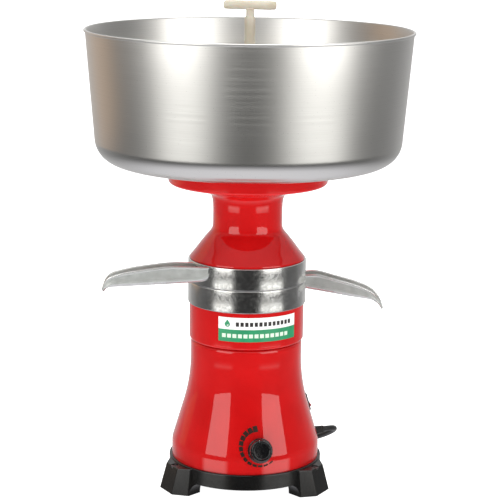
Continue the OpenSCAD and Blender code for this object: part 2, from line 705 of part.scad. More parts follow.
// A closed tube of n sides swept through the points p, each ring square to the route there
module swept_tube(p, r, n = 10) polyhedron(
    points = [for (i = [0:len(p) - 1])
        let (d = route_dir(p, i), side = unit(cross(d, [0, 0, 1])), up = cross(side, d))
        for (k = [0:n - 1]) p[i] + r * (cos(360 * k / n) * side + sin(360 * k / n) * up)],
    faces = concat(
        [[for (k = [0:n - 1]) k]],
        [for (i = [0:len(p) - 2]) for (k = [0:n - 1]) let (a = i * n + k, b = i * n + (k + 1) % n)
            [a, a + n, b + n, b]],
        [[for (k = [n - 1:-1:0]) (len(p) - 1) * n + k]]));

module strain_relief() color("#161616") rotate([0, 0, cord_az]) translate([skirt_r, 0, cord_z])
    rotate([0, 90, 0]) turned([[cord_r + 0.05, -5.4], [6.2, -5.4], [6.2, -3.4], [4.9, -3.3],
        [4.9, 0.1], [5.9, 0.3], [5.9, 2.2], [5.2, 3], [4.2, relief_len - 0.6],
        [3.9, relief_len], [cord_r + 0.05, relief_len]]);

module power_cord() color("#141414") swept_tube(concat(
    [[(skirt_r + 2) * cos(cord_az), (skirt_r + 2) * sin(cord_az), cord_z]], cord_route), cord_r);

module cord_coil() color("#141414") translate([coil_x, coil_y, 0]) difference() {
    rotate_extrude($fn = 120) translate([coil_in_r - cord_r, 0]) square([3 * cord_d, 2 * cord_d]);
    rotate([0, 0, tie_az]) translate([coil_in_r - 10, -3.2, -1]) cube([40, 6.4, 1.8]);
}

module coil_tie() color("#0d0d0d") translate([coil_x, coil_y, 0]) rotate([0, 0, tie_az])
    translate([coil_mid_r, 0, 0]) difference() {
        translate([-1.5 * cord_d - 1, -3, 0]) cube([3 * cord_d + 2, 6, 2 * cord_d + 1]);
        translate([-1.5 * cord_d - 0.05, -5, 0.75]) cube([3 * cord_d + 0.1, 10, 2 * cord_d - 0.7]);
    }

// Puts children at the coil's leaving point, with +X along the lead towards the plug
module on_tail(t, z) translate([coil_x + coil_out_r * cos(leave_az),
    coil_y + coil_out_r * sin(leave_az), z]) rotate([0, 0, plug_heading])
    translate([t, 0, 0]) children();

module cord_tail() color("#141414") on_tail(tail_start, plug_z) rotate([0, 90, 0])
    cylinder(r = cord_r, h = plug_tail_start - tail_start, $fn = 32);

module plug_body() color("#161616") union() {
    on_tail(plug_start, 0.2) linear_extrude(17) polygon([[0, -8], [8, -13], [20, -17.7],
        [plug_len, -17.7], [plug_len, 17.7], [20, 17.7], [8, 13], [0, 8]]);
    on_tail(plug_tail_start, plug_z) rotate([0, 90, 0])
        cylinder(r1 = 4.2, r2 = 5.6, h = plug_start - plug_tail_start + 1, $fn = 48);
}

module plug_pins() color("#cfd1d3") for (s = [-1, 1]) on_tail(plug_start + plug_len, plug_z)
    translate([0, s * 9.5, 0]) rotate([0, 90, 0]) {
        cylinder(r = 2.4, h = 18, $fn = 32);
        translate([0, 0, 18]) cylinder(r1 = 2.4, r2 = 1.4, h = 1, $fn = 32);
    }

foot_pads();
base_ring();
foot_screws();
base_screws();
bottom_plate();
motor_housing();
drum_chamber();
label_band();
dial_marks();
motor_plate();
motor_dampers();
motor_screws();
upper_bracket();
lower_bracket();
motor_bolts();
upper_bearing();
lower_bearing();
stator_core();
field_coils();
brush_holders();
carbon_brushes();
spindle();
armature_core();
armature_windings();
commutator();
cooling_fan();
shaft_seal();
control_board();
board_parts();
board_posts();
potentiometer();
pot_nut();
pot_shaft();
speed_knob();
switch_frame();
power_rocker();
drum_base();
drum_seal();
disc_holder();
disc_stack();
drum_shell();
cream_screw();
drum_nut();
skim_receiver();
cream_receiver();
float_chamber();
feed_nozzle();
milk_float();
milk_bowl();
outlet_gasket();
outlet_bush();
outlet_nut();
milk_valve();
strain_relief();
power_cord();
cord_coil();
cord_tail();
coil_tie();
plug_body();
plug_pins();
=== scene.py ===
"""Looks of a household electric cream separator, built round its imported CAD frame.

Lengths in the shape tables are millimetres (MM turns them into metres). The drum axis is Z,
the floor is z = 0 and the controls face -Y.
"""

import json
from math import atan2, copysign, cos, degrees, hypot, pi, radians, sin, sqrt, tan

import bmesh
import bpy
from mathutils import Matrix, Vector


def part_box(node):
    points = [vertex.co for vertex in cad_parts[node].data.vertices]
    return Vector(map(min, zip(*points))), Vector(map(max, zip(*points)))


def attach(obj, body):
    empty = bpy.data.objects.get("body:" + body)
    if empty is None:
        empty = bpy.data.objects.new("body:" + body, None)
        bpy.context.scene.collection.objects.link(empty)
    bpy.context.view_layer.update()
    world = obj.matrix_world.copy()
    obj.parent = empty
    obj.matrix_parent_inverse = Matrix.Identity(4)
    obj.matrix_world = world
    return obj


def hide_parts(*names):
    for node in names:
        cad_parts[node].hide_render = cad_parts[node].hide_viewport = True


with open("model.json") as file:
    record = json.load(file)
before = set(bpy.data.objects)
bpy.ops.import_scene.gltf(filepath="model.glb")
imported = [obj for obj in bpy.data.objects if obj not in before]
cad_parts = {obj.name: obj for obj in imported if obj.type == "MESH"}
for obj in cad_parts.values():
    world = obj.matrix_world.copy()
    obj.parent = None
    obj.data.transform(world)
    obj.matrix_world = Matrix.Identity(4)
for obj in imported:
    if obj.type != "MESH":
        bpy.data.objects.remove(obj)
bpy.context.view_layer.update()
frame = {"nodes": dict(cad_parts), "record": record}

MM = 0.001
TURN = 192  # facets round a large turned part
CORNERS = ((-1, -1), (1, -1), (1, 1), (-1, 1))
TO_X = Matrix.Rotation(pi / 2, 4, "Y")  # lays local Z along X


def low(node):
    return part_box(node)[0] / MM


def high(node):
    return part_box(node)[1] / MM


# ---- sizes, from the frame

skirt_r = high("motor_housing").x
base_top_z = low("motor_housing").z
joint_z = high("motor_housing").z
chamber_r = high("drum_chamber").x
chamber_top_z = high("drum_chamber").z
ring_r = high("skim_receiver").y
cream_top_z = high("cream_receiver").z
dish_r = high("float_chamber").x
bowl_base_z = low("milk_bowl").z
bowl_rim_r = high("milk_bowl").x
bowl_rim_z = high("milk_bowl").z
foot_reach = high("base_ring").y
foot_bottom_z = low("base_ring").z
handle_top_z = high("milk_valve").z

skirt_slope = 16.5
waist_r = 63.1
knob_az, knob_z, dial_z = -78.4, 59, 63.3
switch_az, switch_z = 15, 88.5
foot_angles = (210, 330, 90)
foot_screw_r, foot_screw_z = 92, 27
pad_centre_r, pad_r, pad_top_z = 88, 12.5, high("foot_pads").z
ring_gap = 0.3
ring_wall, chamber_wall = 2.4, 2.6
seam_z = 236.5
skim_z = chamber_top_z + ring_gap


# ---- camera, floor and light

def added(name, data):
    """A new object of this data in the scene."""
    thing = bpy.data.objects.new(name, data)
    bpy.context.scene.collection.objects.link(thing)
    return thing


class Tree:
    """A node tree, with short ways to add nodes to it."""

    def __init__(self, tree):
        self.tree = tree

    def add(self, kind, **inputs):
        node = self.tree.nodes.new(kind)
        for socket, value in inputs.items():
            node.inputs[socket.replace("_", " ")].default_value = value
        return node

    def join(self, output, target):
        self.tree.links.new(output, target)

    def remap(self, value, from_low, from_high, to_low=0, to_high=1, kind="LINEAR"):
        node = self.add("ShaderNodeMapRange", From_Min=from_low, From_Max=from_high,
                        To_Min=to_low, To_Max=to_high)
        node.interpolation_type = kind
        self.join(value, node.inputs["Value"])
        return node.outputs["Result"]

    def blend(self, share, first, colour):
        """Turns from first, a colour or an output, into this colour as share goes from 0 to 1."""
        mix = self.add("ShaderNodeMix")
        mix.data_type = "RGBA"
        self.join(share, mix.inputs["Factor"])
        if isinstance(first, tuple):
            mix.inputs["A"].default_value = first
        else:
            self.join(first, mix.inputs["A"])
        mix.inputs["B"].default_value = (*colour, 1)
        return mix.outputs["Result"]


def make_camera():
    """A long lens a little above the bowl's rim, looking slightly down."""
    data = bpy.data.cameras.new("camera")
    data.lens = 126
    data.sensor_width = 36
    camera = added("camera", data)
    pitch, roll, yaw = 0.208, 0.0123, -0.0016
    camera.matrix_world = (
        Matrix.Translation((0, -1.931, 0.677))
        @ Matrix.Rotation(yaw, 4, "Z")
        @ Matrix.Rotation(pi / 2 - pitch, 4, "X")
        @ Matrix.Rotation(roll, 4, "Z")
    )
    bpy.context.scene.camera = camera


def softbox(name, azimuth, distance, centre_z, width, height, radiance, tint=(1, 1, 1)):
    """A rectangular light that faces the drum axis. Azimuth 0 is the front, 90 is +X."""
    data = bpy.data.lights.new(name, "AREA")
    data.shape = "RECTANGLE"
    data.size, data.size_y = width, height
    data.energy = radiance * pi * width * height
    data.color = tint
    lamp = added(name, data)
    a = radians(azimuth)
    lamp.location = (distance * sin(a), -distance * cos(a), centre_z)
    aim = Vector((0, 0, 0.3)) - lamp.location
    lamp.rotation_euler = aim.to_track_quat("-Z", "Y").to_euler()
    lamp.visible_camera = False


def make_world():
    """A white studio: darker in front, where the photographer stands, and brightest overhead."""
    world = bpy.data.worlds.new("studio")
    bpy.context.scene.world = world
    world.use_nodes = True
    sky = Tree(world.node_tree)
    split = sky.add("ShaderNodeSeparateXYZ")
    sky.join(sky.add("ShaderNodeTexCoord").outputs["Generated"], split.inputs[0])
    y, z = split.outputs["Y"], split.outputs["Z"]
    front = sky.add("ShaderNodeValToRGB")
    front.color_ramp.interpolation = "EASE"
    # Grey of the wall at each share of the way from the front to the back
    stops = [(0.0, 0.03), (0.25, 0.045), (0.5, 0.12), (0.66, 0.17), (0.82, 0.32), (0.92, 0.62),
             (1.0, 0.85)]
    for i, (place, grey) in enumerate(stops):
        stop = front.color_ramp.elements[i] if i < 2 else front.color_ramp.elements.new(place)
        stop.position = place
        stop.color = (grey, grey, grey, 1)
    sky.join(sky.remap(y, -1, 1), front.inputs["Fac"])
    overhead, floor, lit = (1.25, 1.25, 1.25), (0.88, 0.88, 0.92), (2.9, 2.9, 2.8)
    glow = sky.blend(sky.remap(z, 0.35, 0.95), front.outputs["Color"], overhead)
    glow = sky.blend(sky.remap(z, -0.5, -0.8), glow, floor)
    for azimuth, half_width in ((-48, 19), (51, 22)):
        glow = sky.blend(lit_floor(sky, split.outputs, azimuth, half_width), glow, lit)
    background = world.node_tree.nodes["Background"]
    sky.join(glow, background.inputs["Color"])
    background.inputs["Strength"].default_value = 0.9


def lit_floor(sky, direction, azimuth, half_width):
    """1 towards the lit floor under a softbox, as a leaning wall mirrors it, and 0 elsewhere."""

    def calc(operation, first, second=0.0):
        node = sky.add("ShaderNodeMath")
        node.operation = operation
        for socket, value in zip(node.inputs, (first, second)):
            if isinstance(value, float):
                socket.default_value = value
            else:
                sky.join(value, socket)
        return node.outputs[0]

    def edge(value, start, end):
        return sky.remap(value, start, end, kind="SMOOTHSTEP")

    def drop(degrees_below):
        return -sin(radians(degrees_below))

    x, y, z = direction
    a = radians(azimuth)
    level = calc("SQRT", calc("SUBTRACT", 1.0, calc("MULTIPLY", z, z)))
    towards = calc("ADD", calc("MULTIPLY", x, sin(a)), calc("MULTIPLY", y, -cos(a)))
    blur = 5
    outer, inner = cos(radians(half_width + blur)), cos(radians(half_width - blur))
    beside = edge(calc("DIVIDE", towards, level), outer, inner)
    far_end = edge(z, drop(13.5), drop(18.5))
    near_end = edge(z, drop(27), drop(16))
    return calc("MULTIPLY", beside, calc("MULTIPLY", far_end, near_end))


def make_floor():
    mesh = bpy.data.meshes.new("floor")
    half = 30
    mesh.from_pydata([(s * half, t * half, 0) for s, t in CORNERS], [], [(0, 1, 2, 3)])
    floor = added("floor", mesh)
    pale = Finish("pale_floor", (0.9, 0.9, 0.9), 0.9, Emission_Color=(1, 1, 1, 1),
                  Emission_Strength=1.0)
    mesh.materials.append(pale.material)
    floor.visible_glossy = False


def make_studio():
    make_camera()
    make_floor()
    make_world()
    softbox("softbox_left", -45, 1.5, 0.70, 0.98, 1.22, 2.9, (1, 0.99, 0.96))
    softbox("softbox_right", 49, 1.5, 0.70, 1.06, 1.22, 2.9, (1, 0.99, 0.96))
    softbox("warm_wall", -121, 1.7, 0.6, 1.0, 1.3, 0.32, (1, 0.55, 0.2))
    softbox("softbox_top", 180, 0.5, 1.9, 1.2, 0.9, 2.0)
    settings = bpy.context.scene.view_settings
    settings.view_transform = "Standard"
    settings.look = "None"


# ---- materials

class Finish(Tree):
    """A Principled material whose colour, roughness and relief vary with noise in object space."""

    def __init__(self, name, colour, roughness, metallic=0.0, **sockets):
        self.material = bpy.data.materials.new(name)
        self.material.use_nodes = True
        super().__init__(self.material.node_tree)
        self.shader = self.tree.nodes["Principled BSDF"]
        self.shader.inputs["Base Color"].default_value = (*colour, 1)
        self.shader.inputs["Roughness"].default_value = roughness
        self.shader.inputs["Metallic"].default_value = metallic
        for socket, value in sockets.items():
            self.shader.inputs[socket.replace("_", " ")].default_value = value
        self.coords = self.add("ShaderNodeTexCoord").outputs["Object"]
        self.normal = None

    def noise(self, scale, detail=3.0, stretch=None):
        """Noise of about scale blobs a metre, squeezed along the axes by stretch."""
        place = self.coords
        if stretch:
            squeeze = self.add("ShaderNodeMapping", Scale=stretch)
            self.join(place, squeeze.inputs["Vector"])
            place = squeeze.outputs["Vector"]
        node = self.add("ShaderNodeTexNoise", Scale=scale, Detail=detail)
        self.join(place, node.inputs["Vector"])
        return node.outputs["Fac"]

    def pits(self, scale, share):
        """1 in small round spots, 0 elsewhere: share is the spot's radius in cells."""
        cells = self.add("ShaderNodeTexVoronoi", Scale=scale)
        self.join(self.coords, cells.inputs["Vector"])
        return self.remap(cells.outputs["Distance"], share, share * 0.5)

    def turning(self, scale, detail=2.0):
        """Noise that changes only with distance along a turned part's outline."""
        flat = self.add("ShaderNodeVectorMath")
        flat.operation = "MULTIPLY"
        flat.inputs[1].default_value = (1, 1, 0)
        self.join(self.coords, flat.inputs[0])
        radius = self.add("ShaderNodeVectorMath")
        radius.operation = "LENGTH"
        self.join(flat.outputs["Vector"], radius.inputs[0])
        split = self.add("ShaderNodeSeparateXYZ")
        self.join(self.coords, split.inputs[0])
        along = self.add("ShaderNodeMath")
        self.join(radius.outputs["Value"], along.inputs[0])
        self.join(split.outputs["Z"], along.inputs[1])
        node = self.add("ShaderNodeTexNoise", Scale=scale, Detail=detail)
        node.noise_dimensions = "1D"
        self.join(along.outputs[0], node.inputs["W"])
        return node.outputs["Fac"]

    def tint(self, colour, value, from_low=0.35, from_high=0.65):
        """The colour turns into this one as value goes from from_low to from_high."""
        base = self.shader.inputs["Base Color"]
        first = base.links[0].from_socket if base.is_linked else tuple(base.default_value)
        self.join(self.blend(self.remap(value, from_low, from_high), first, colour), base)
        return self

    def rough(self, value, least, most, from_low=0.35, from_high=0.65):
        self.join(self.remap(value, from_low, from_high, least, most),
                  self.shader.inputs["Roughness"])
        return self

    def relief(self, value, depth):
        """Relief of this depth in millimetres, on top of any relief already there."""
        bump = self.add("ShaderNodeBump", Distance=depth * MM)
        self.join(value, bump.inputs["Height"])
        if self.normal:
            self.join(self.normal, bump.inputs["Normal"])
        self.normal = bump.outputs["Normal"]
        self.join(self.normal, self.shader.inputs["Normal"])
        return self

    def spun(self):
        """Brushed round the Z axis, so highlights spread across the marks."""
        tangent = self.add("ShaderNodeTangent")
        tangent.direction_type = "RADIAL"
        tangent.axis = "Z"
        self.join(tangent.outputs["Tangent"], self.shader.inputs["Tangent"])
        return self


def make_finishes():
    """One finish for each material slot of the record."""
    f = {}
    red = Finish("red_enamel", (0.485, 0.0045, 0.005), 0.32, Coat_Weight=1.0,
                 Coat_Roughness=0.03, Specular_IOR_Level=0.05)
    red.tint((0.44, 0.004, 0.0045), red.noise(35, 4)).relief(red.noise(420, 2), 0.012)
    f["red_shell"] = red.relief(red.noise(90, 1), 0.03)
    black = Finish("black_abs", (0.005, 0.005, 0.005), 0.24)
    black.tint((0.0065, 0.006, 0.0055), black.noise(60, 2)).rough(black.noise(120, 1), 0.21, 0.25)
    f["black_base"] = black.relief(black.noise(300, 1), 0.001)
    rubber = Finish("black_rubber", (0.013, 0.013, 0.013), 0.72)
    rubber.tint((0.022, 0.021, 0.02), rubber.noise(150, 4)).rough(rubber.noise(500), 0.6, 0.85)
    f["rubber_black"] = rubber.relief(rubber.noise(1800, 3), 0.03)
    cord = Finish("lead_pvc", (0.012, 0.012, 0.013), 0.45)
    cord.tint((0.02, 0.02, 0.02), cord.noise(120, 3)).rough(cord.noise(400), 0.38, 0.56)
    f["cord_pvc"] = cord.relief(cord.noise(900, 2), 0.015)
    knob = Finish("gloss_black", (0.0035, 0.0035, 0.004), 0.16, Coat_Weight=0.6,
                  Coat_Roughness=0.04)
    knob.rough(knob.noise(300), 0.12, 0.22)
    f["knob_plastic"] = knob.relief(knob.noise(700, 2), 0.006)
    rocker = Finish("red_rocker", (0.30, 0.008, 0.012), 0.25, Coat_Weight=0.3)
    rocker.rough(rocker.noise(400), 0.2, 0.34)
    f["rocker_plastic"] = rocker.relief(rocker.noise(900, 2), 0.006)
    cream = Finish("cream_nylon", (0.78, 0.72, 0.60), 0.42, Subsurface_Weight=0.15,
                   Subsurface_Scale=0.004)
    cream.tint((0.70, 0.63, 0.50), cream.noise(70, 4)).rough(cream.noise(350), 0.36, 0.52)
    f["cream_plastic"] = cream.relief(cream.noise(1200, 3), 0.02)
    f.update(bright_metals())
    f.update(motor_finishes())
    f.update(printed_finishes())
    return f


def bright_metals():
    """The bare metals. Only the receivers' spouts take the satin alloy."""
    bowl = Finish("spun_aluminium", (0.80, 0.79, 0.77), 0.295, 1.0, Anisotropic=0.78)
    marks = bowl.turning(900, 3)
    bowl.tint((0.75, 0.74, 0.72), marks, 0.25, 0.8).rough(bowl.turning(260, 4), 0.285, 0.31)
    bowl.tint((0.42, 0.41, 0.40), bowl.pits(260, 0.09), 0.2, 1)
    bowl.relief(marks, 0.0005).relief(bowl.noise(45, 1), 0.02).spun()
    cast = Finish("polished_casting", (0.80, 0.80, 0.79), 0.16, 1.0)
    cast.tint((0.70, 0.69, 0.67), cast.noise(120, 6), 0.4, 0.75)
    cast.rough(cast.noise(300, 5), 0.17, 0.27).relief(cast.noise(380, 5), 0.012)
    cast.relief(cast.noise(70, 2), 0.06)
    satin = Finish("sand_cast_alloy", (0.66, 0.68, 0.66), 0.40, 0.7)
    satin.tint((0.56, 0.58, 0.56), satin.noise(90, 5), 0.4, 0.7)
    satin.rough(satin.noise(300, 4), 0.34, 0.5).relief(satin.noise(900, 4), 0.04)
    drum = Finish("turned_drum_alloy", (0.72, 0.72, 0.72), 0.28, 1.0, Anisotropic=0.5)
    drum.rough(drum.turning(700), 0.2, 0.36).relief(drum.turning(1500), 0.02).spun()
    chrome = Finish("ground_steel", (0.66, 0.67, 0.68), 0.18, 1.0)
    chrome.rough(chrome.turning(900), 0.12, 0.26).relief(chrome.turning(1800), 0.01)
    pins = Finish("plated_pins", (0.76, 0.76, 0.75), 0.2, 1.0)
    pins.rough(pins.noise(500), 0.14, 0.28).relief(pins.noise(900), 0.01)
    return {"spun_alloy": bowl, "cast_alloy": cast, "satin_alloy": satin, "drum_alloy": drum,
            "bearing_steel": chrome, "pin_metal": pins}


def motor_finishes():
    """Plain workshop metals and mouldings of the parts inside the housing."""
    table = {
        "screw_steel": ((0.16, 0.16, 0.165), 0.35, 1.0, 1400, 0.02),
        "plate_steel": ((0.48, 0.49, 0.50), 0.36, 1.0, 700, 0.03),
        "cast_bracket": ((0.55, 0.55, 0.56), 0.48, 1.0, 500, 0.12),
        "copper": ((0.60, 0.22, 0.09), 0.32, 1.0, 1600, 0.08),
        "brass": ((0.66, 0.47, 0.18), 0.3, 1.0, 900, 0.02),
        "carbon": ((0.03, 0.03, 0.03), 0.6, 0.0, 1500, 0.03),
        "fan_plastic": ((0.03, 0.032, 0.035), 0.45, 0.0, 800, 0.02),
        "board_green": ((0.03, 0.15, 0.06), 0.4, 0.0, 900, 0.02),
        "board_dark": ((0.04, 0.045, 0.05), 0.4, 0.0, 900, 0.02),
        "seal_rubber": ((0.42, 0.05, 0.02), 0.6, 0.0, 1500, 0.03),
    }
    made = {}
    for slot, (colour, roughness, metallic, scale, depth) in table.items():
        finish = Finish(slot + "_finish", colour, roughness, metallic)
        darker = [0.75 * c for c in colour]
        finish.tint(darker, finish.noise(scale / 8, 4))
        finish.rough(finish.noise(scale / 3), roughness - 0.07, roughness + 0.1)
        made[slot] = finish.relief(finish.noise(scale, 3), depth)
    sheets = Finish("stacked_sheets", (0.20, 0.205, 0.21), 0.45, 1.0)
    lines = sheets.noise(30, 1, (0.02, 0.02, 60))
    made["lamination"] = sheets.tint((0.10, 0.10, 0.105), lines).relief(lines, 0.1)
    return made


def printed_finishes():
    """Foil and inks: two colours, roughness, coat, blotches, and the relief's scale and depth."""
    table = {
        "label_print": ("label_white", (0.82, 0.83, 0.82), (0.76, 0.77, 0.76), 0.3, 0.3,
                        90, 260, 0.01),
        "green": ("label_green", (0.02, 0.27, 0.115), (0.016, 0.23, 0.10), 0.3, 0.3,
                  90, 260, 0.01),
        "ink": ("label_ink", (0.02, 0.018, 0.018), (0.035, 0.03, 0.03), 0.35, 0,
                900, 1500, 0.004),
        "pale_ink": ("label_pale_ink", (0.62, 0.74, 0.62), (0.55, 0.68, 0.56), 0.35, 0,
                     900, 1500, 0.004),
        "dial_print": ("dial_ink", (0.020, 0.010, 0.008), (0.03, 0.014, 0.01), 0.3, 0,
                       600, 1500, 0.005),
    }
    made = {}
    for look, (name, colour, second, roughness, coat, blotches, grain, depth) in table.items():
        finish = Finish(name, colour, roughness, Coat_Weight=coat)
        finish.tint(second, finish.noise(blotches, 3))
        made[look] = finish.relief(finish.noise(grain, 2), depth)
    return made


# ---- mesh helpers

def mesh_piece(name, points, faces, sharp=32):
    """A mesh from points in millimetres, with its faces turned outward and its edges sorted."""
    mesh = bpy.data.meshes.new(name)
    mesh.from_pydata([Vector(p) * MM for p in points], [], faces)
    bm = bmesh.new()
    bm.from_mesh(mesh)
    bmesh.ops.remove_doubles(bm, verts=bm.verts, dist=1e-6)
    bmesh.ops.recalc_face_normals(bm, faces=bm.faces)
    bm.to_mesh(mesh)
    bm.free()
    return smooth(added(name, mesh), sharp)


def smooth(piece, sharp=32):
    piece.data.shade_smooth()
    piece.data.set_sharp_from_angle(angle=radians(sharp))
    return piece


def arc(x, z, r, start, end, steps):
    """Points on the circle of radius r about (x, z), from angle start to end in degrees."""
    angles = [radians(start + (end - start) * i / steps) for i in range(steps + 1)]
    return [(x + r * cos(a), z + r * sin(a)) for a in angles]


def filleted(corners, closed=True, steps=5):
    """The outline through corners (x, z, radius), each rounded to its radius."""
    points = []
    for i, (x, z, radius) in enumerate(corners):
        here = Vector((x, z))
        if radius == 0 or (not closed and i in (0, len(corners) - 1)):
            points.append((x, z))
            continue
        back = Vector(corners[i - 1][:2]) - here
        ahead = Vector(corners[(i + 1) % len(corners)][:2]) - here
        half = back.angle(ahead) / 2
        cut = min(radius / tan(half), 0.49 * back.length, 0.49 * ahead.length)
        reach = cut * tan(half)
        centre = here + (back.normalized() + ahead.normalized()).normalized() * (reach / sin(half))
        first = here + back.normalized() * cut - centre
        last = here + ahead.normalized() * cut - centre
        start, end = atan2(first.y, first.x), atan2(last.y, last.x)
        sweep = (end - start + pi) % (2 * pi) - pi
        points += arc(centre.x, centre.y, reach, degrees(start), degrees(start + sweep), steps)
    return points


def rounded_box(half_w, half_h, radius, steps=5):
    return filleted([(s * half_w, t * half_h, radius) for s, t in CORNERS], steps=steps)


def eased(points, steps):
    """A smooth curve through points of any dimension (Catmull-Rom), steps to each stretch."""
    out = []
    for i in range(len(points) - 1):
        p0, p1 = points[max(i - 1, 0)], points[i]
        p2, p3 = points[i + 1], points[min(i + 2, len(points) - 1)]
        for k in range(steps):
            t = k / steps
            out.append(tuple(
                0.5 * (2 * b + (c - a) * t + (2 * a - 5 * b + 4 * c - d) * t ** 2
                       + (3 * b - 3 * c + d - a) * t ** 3)
                for a, b, c, d in zip(p0, p1, p2, p3)))
    return out + [tuple(points[-1])]


def revolve(name, outline, facets=TURN, place=Matrix.Identity(4), sharp=32):
    """Turns an outline of (radius, height) round Z, then puts it at place (in millimetres).

    The outline is closed unless it starts and ends on the axis.
    """
    rings = []
    for i in range(facets):
        a = 2 * pi * i / facets
        rings.append([place @ Vector((r * cos(a), r * sin(a), z)) for r, z in outline])
    return mesh_piece(name, *bridge(rings, True, outline[0][0] > 0), sharp=sharp)


def bridge(rings, ring_loop=False, outline_loop=True):
    """Points and faces of the skin over rings of equally many points."""
    size = len(rings[0])
    points = [p for ring in rings for p in ring]
    faces = []
    for i in range(len(rings) if ring_loop else len(rings) - 1):
        j = (i + 1) % len(rings)
        for k in range(size if outline_loop else size - 1):
            n = (k + 1) % size
            faces.append((i * size + k, j * size + k, j * size + n, i * size + n))
    return points, faces


def loft(name, rings, sharp=32):
    """A closed skin over rings of points, with both ends capped."""
    points, faces = bridge(rings)
    size = len(rings[0])
    faces.append(tuple(range(size)))
    faces.append(tuple(len(points) - size + k for k in range(size)))
    return mesh_piece(name, points, faces, sharp)


def prism(name, outline, bottom, top, place):
    """An outline of (x, y) points raised from bottom to top, then put at place."""
    rings = [[place @ Vector((x, y, z)) for x, y in outline] for z in (bottom, top)]
    return loft(name, rings)


def settle(piece):
    """Applies a piece's modifiers to its mesh."""
    shape = piece.evaluated_get(bpy.context.evaluated_depsgraph_get())
    mesh = bpy.data.meshes.new_from_object(shape)
    piece.modifiers.clear()
    piece.data = mesh


def combine(piece, others, operation, sharp=32):
    """Unites the others with a piece, or cuts them from it."""
    for other in others:
        modifier = piece.modifiers.new("boolean", "BOOLEAN")
        modifier.operation = operation
        modifier.solver = "EXACT"
        modifier.object = other
    settle(piece)
    for other in others:
        bpy.data.objects.remove(other)
    return smooth(piece, sharp)


def soften(piece, width, segments=3, angle=30):
    """Rounds a piece's edges to this width in millimetres."""
    modifier = piece.modifiers.new("bevel", "BEVEL")
    modifier.width = width * MM
    modifier.segments = segments
    modifier.limit_method = "ANGLE"
    modifier.angle_limit = radians(angle)
    settle(piece)
    return smooth(piece)


def joined(name, pieces):
    """Several pieces as one mesh of separate solids."""
    bm = bmesh.new()
    for piece in pieces:
        bm.from_mesh(piece.data)
        bpy.data.objects.remove(piece)
    mesh = bpy.data.meshes.new(name)
    bm.to_mesh(mesh)
    bm.free()
    return smooth(added(name, mesh))


def dress(piece, looks, slot, *nodes, body="root", look=None):
    """Gives a piece its slot's finish or another look, its body and the CAD nodes it replaces."""
    piece.data.materials.clear()
    piece.data.materials.append(looks[look or slot].material)
    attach(piece, body)
    if nodes:
        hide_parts(*nodes)
    return piece


def turned_by(azimuth):
    return Matrix.Rotation(radians(azimuth), 4, "Z")


def out_at(azimuth, r, z=0):
    """The place r out from the Z axis at this azimuth and height, with local +X outward."""
    return turned_by(azimuth) @ Matrix.Translation((r, 0, z))


# ---- the skirt's surface

knee_z, knee_r = 46, 28
waist_arc_r = 194
slope_r0 = skirt_r - knee_r * (1 - cos(radians(skirt_slope)))
slope_z0 = knee_z + knee_r * sin(radians(skirt_slope))
slope_r1 = waist_r + waist_arc_r * (1 - cos(radians(skirt_slope)))
slope_z1 = slope_z0 + (slope_r0 - slope_r1) / tan(radians(skirt_slope))
waist_z = slope_z1 + waist_arc_r * sin(radians(skirt_slope))


def skirt_side(inset):
    """The skirt's outline from its foot up to the waist, moved in by inset."""
    return (
        [(skirt_r - inset, base_top_z)]
        + arc(skirt_r - knee_r - inset, knee_z, knee_r, 0, skirt_slope, 10)
        + arc(waist_r + waist_arc_r - inset, waist_z, waist_arc_r, 180 + skirt_slope, 180, 22)
    )


def skirt_radius(z):
    """Radius of the skirt's outer face at height z."""
    if z < knee_z:
        return skirt_r
    if z < slope_z0:
        return skirt_r - knee_r + sqrt(knee_r ** 2 - (z - knee_z) ** 2)
    if z < slope_z1:
        return slope_r0 - (z - slope_z0) * tan(radians(skirt_slope))
    return waist_r + waist_arc_r - sqrt(waist_arc_r ** 2 - (waist_z - z) ** 2)


def on_skirt(azimuth, z):
    """The place on the skirt at this azimuth and height, with local +Z along the normal."""
    r = slope_r0 - (z - slope_z0) * tan(radians(skirt_slope))
    return out_at(azimuth, r, z) @ Matrix.Rotation(radians(90 - skirt_slope), 4, "Y")


# ---- mains lead

cord_r = 3.25
lead_az, lead_z = 30, 43
relief_len = 23
coil_centre = (26, 158)
coil_radii = (45.5, 39, 32.5)
layer_z = (cord_r, 3 * cord_r)
leave_az = 95
leave_heading = leave_az + 90
coil_angle = 5 * 360 + leave_az
tail_end = 29
plug_start = 44
plug_z = 8.7

# The lead from the strain relief's tip to the coil, as in the CAD route
cord_route = [
    (92.7, 53.5, 43), (97.6, 56.9, 42.6), (101.9, 61.6, 41.6), (105, 67.4, 39.8),
    (106.6, 74, 37.2), (106.6, 81, 33.8), (105.2, 88.2, 30), (102.6, 95.4, 25.9),
    (99.2, 102.6, 21.7), (95.2, 109.8, 17.5), (90.8, 117, 13.5), (86.2, 124.4, 9.9),
    (81.8, 132, 6.9), (77.8, 139.8, 4.7), (74.4, 147, 3.5), (72.2, 153.4, 3.25)]


def ease(t):
    t = min(max(t, 0), 1)
    return t * t * (3 - 2 * t)


def coil_point(angle):
    """Where the lead is after this many degrees of its coil: in on the floor, out on top."""
    length = 100
    inward, climb, outward = (240, 600), 900, (1240, 1600)
    steps = [ease((angle - start) / length) for start in inward]
    steps += [-ease((angle - start) / length) for start in outward]
    radius = coil_radii[0] - (coil_radii[0] - coil_radii[1]) * sum(steps)
    z = layer_z[0] + (layer_z[1] - layer_z[0]) * ease((angle - climb) / length)
    return (*coil_circle(angle, radius), z)


def coil_circle(angle, radius):
    a = radians(angle)
    return coil_centre[0] + radius * cos(a), coil_centre[1] + radius * sin(a)


